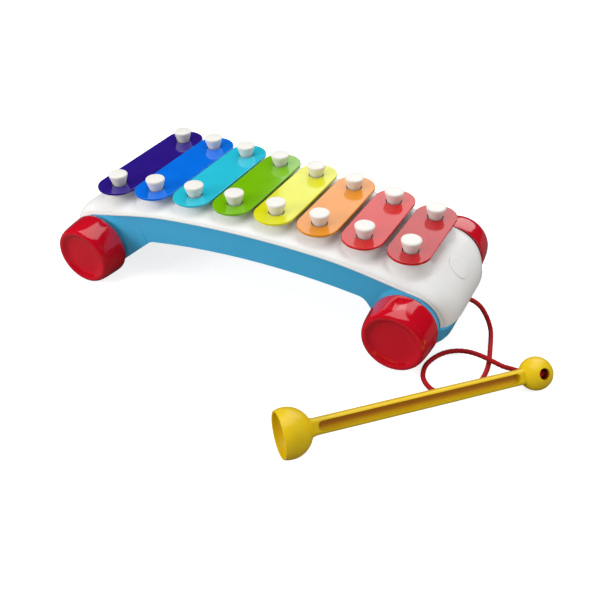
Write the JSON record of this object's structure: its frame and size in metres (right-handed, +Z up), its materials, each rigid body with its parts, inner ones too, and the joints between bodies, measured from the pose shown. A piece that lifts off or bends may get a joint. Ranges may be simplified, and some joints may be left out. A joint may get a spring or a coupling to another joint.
{
  "type": "pull-along toy xylophone",
  "caption": "Wheeled plastic toy xylophone: tuned bars of falling length on pegs across an arched lid, with a corded mallet that has a ball at one end and a cup at the other.",
  "frame": {"origin": "On the floor under the middle of the box round the toy and its mallet, the cord and its knots left out of that box.", "axes": "+Z up. The toy lies along X, its wide low-note end at -X and its narrow high-note nose at +X. The bars run along Y, and the mallet lies on the -Y side."},
  "size_m": [0.3686, 0.2566, 0.0805],
  "materials": {
    "lid_white": "moulded, glossy white",
    "chassis_blue": "moulded, glossy sky blue",
    "wheel_red": "moulded, glossy red",
    "axle_steel": "plain drawn rod",
    "screw_steel": "zinc plated",
    "bar_violet": "glossy enamel",
    "bar_blue": "glossy enamel",
    "bar_cyan": "glossy enamel",
    "bar_green": "glossy enamel",
    "bar_yellow": "glossy enamel",
    "bar_orange": "glossy enamel",
    "bar_coral": "glossy enamel",
    "bar_red": "glossy enamel",
    "peg_white": "moulded, satin white",
    "cushion_grey": "soft felt",
    "mallet_yellow": "moulded, glossy yellow",
    "cord_red": "round braided cord"
  },
  "bodies": {
    "body": {"lid": "lid_white", "chassis": "chassis_blue", "lid_screw_1": "screw_steel", "lid_screw_2": "screw_steel", "lid_screw_3": "screw_steel", "lid_screw_4": "screw_steel", "lid_screw_5": "screw_steel", "lid_screw_6": "screw_steel", "peg_front_1": "peg_white", "peg_front_2": "peg_white", "peg_front_3": "peg_white", "peg_front_4": "peg_white", "peg_front_5": "peg_white", "peg_front_6": "peg_white", "peg_front_7": "peg_white", "peg_front_8": "peg_white", "peg_back_1": "peg_white", "peg_back_2": "peg_white", "peg_back_3": "peg_white", "peg_back_4": "peg_white", "peg_back_5": "peg_white", "peg_back_6": "peg_white", "peg_back_7": "peg_white", "peg_back_8": "peg_white", "cushion_front_1": "cushion_grey", "cushion_front_2": "cushion_grey", "cushion_front_3": "cushion_grey", "cushion_front_4": "cushion_grey", "cushion_front_5": "cushion_grey", "cushion_front_6": "cushion_grey", "cushion_front_7": "cushion_grey", "cushion_front_8": "cushion_grey", "cushion_back_1": "cushion_grey", "cushion_back_2": "cushion_grey", "cushion_back_3": "cushion_grey", "cushion_back_4": "cushion_grey", "cushion_back_5": "cushion_grey", "cushion_back_6": "cushion_grey", "cushion_back_7": "cushion_grey", "cushion_back_8": "cushion_grey", "cord": "cord_red", "knot_nose": "cord_red"},
    "wheelset_low": {"axle_low": "axle_steel", "wheel_low_front": "wheel_red", "wheel_low_back": "wheel_red"},
    "wheelset_nose": {"axle_nose": "axle_steel", "wheel_nose_front": "wheel_red", "wheel_nose_back": "wheel_red"},
    "bar_1": {"bar_1_violet": "bar_violet"},
    "bar_2": {"bar_2_blue": "bar_blue"},
    "bar_3": {"bar_3_cyan": "bar_cyan"},
    "bar_4": {"bar_4_green": "bar_green"},
    "bar_5": {"bar_5_yellow": "bar_yellow"},
    "bar_6": {"bar_6_orange": "bar_orange"},
    "bar_7": {"bar_7_coral": "bar_coral"},
    "bar_8": {"bar_8_red": "bar_red"},
    "mallet": {"mallet": "mallet_yellow", "knot_mallet": "cord_red"}
  },
  "joints": [
    {"name": "low_wheels_roll", "type": "hinge", "parent": "body", "child": "wheelset_low", "pos_m": [-0.15411, 0.04359, 0.02394], "axis": [0, 1, 0], "continuous": true},
    {"name": "nose_wheels_roll", "type": "hinge", "parent": "body", "child": "wheelset_nose", "pos_m": [0.08699, 0.04359, 0.02394], "axis": [0, 1, 0], "continuous": true},
    {"name": "bar_1_lifts", "type": "slide", "parent": "body", "child": "bar_1", "axis": [0, 0, 1], "range_m": [0, 0.002]},
    {"name": "bar_2_lifts", "type": "slide", "parent": "body", "child": "bar_2", "axis": [0, 0, 1], "range_m": [0, 0.002]},
    {"name": "bar_3_lifts", "type": "slide", "parent": "body", "child": "bar_3", "axis": [0, 0, 1], "range_m": [0, 0.002]},
    {"name": "bar_4_lifts", "type": "slide", "parent": "body", "child": "bar_4", "axis": [0, 0, 1], "range_m": [0, 0.002]},
    {"name": "bar_5_lifts", "type": "slide", "parent": "body", "child": "bar_5", "axis": [0, 0, 1], "range_m": [0, 0.002]},
    {"name": "bar_6_lifts", "type": "slide", "parent": "body", "child": "bar_6", "axis": [0, 0, 1], "range_m": [0, 0.002]},
    {"name": "bar_7_lifts", "type": "slide", "parent": "body", "child": "bar_7", "axis": [0, 0, 1], "range_m": [0, 0.002]},
    {"name": "bar_8_lifts", "type": "slide", "parent": "body", "child": "bar_8", "axis": [0, 0, 1], "range_m": [0, 0.002]},
    {"name": "mallet_swings", "type": "hinge", "parent": "body", "child": "mallet", "pos_m": [0.17354, 0.00619, 0.0108], "axis": [-0.5798, 0.5178, -0.6291], "range_deg": [0, 60]}
  ]
}
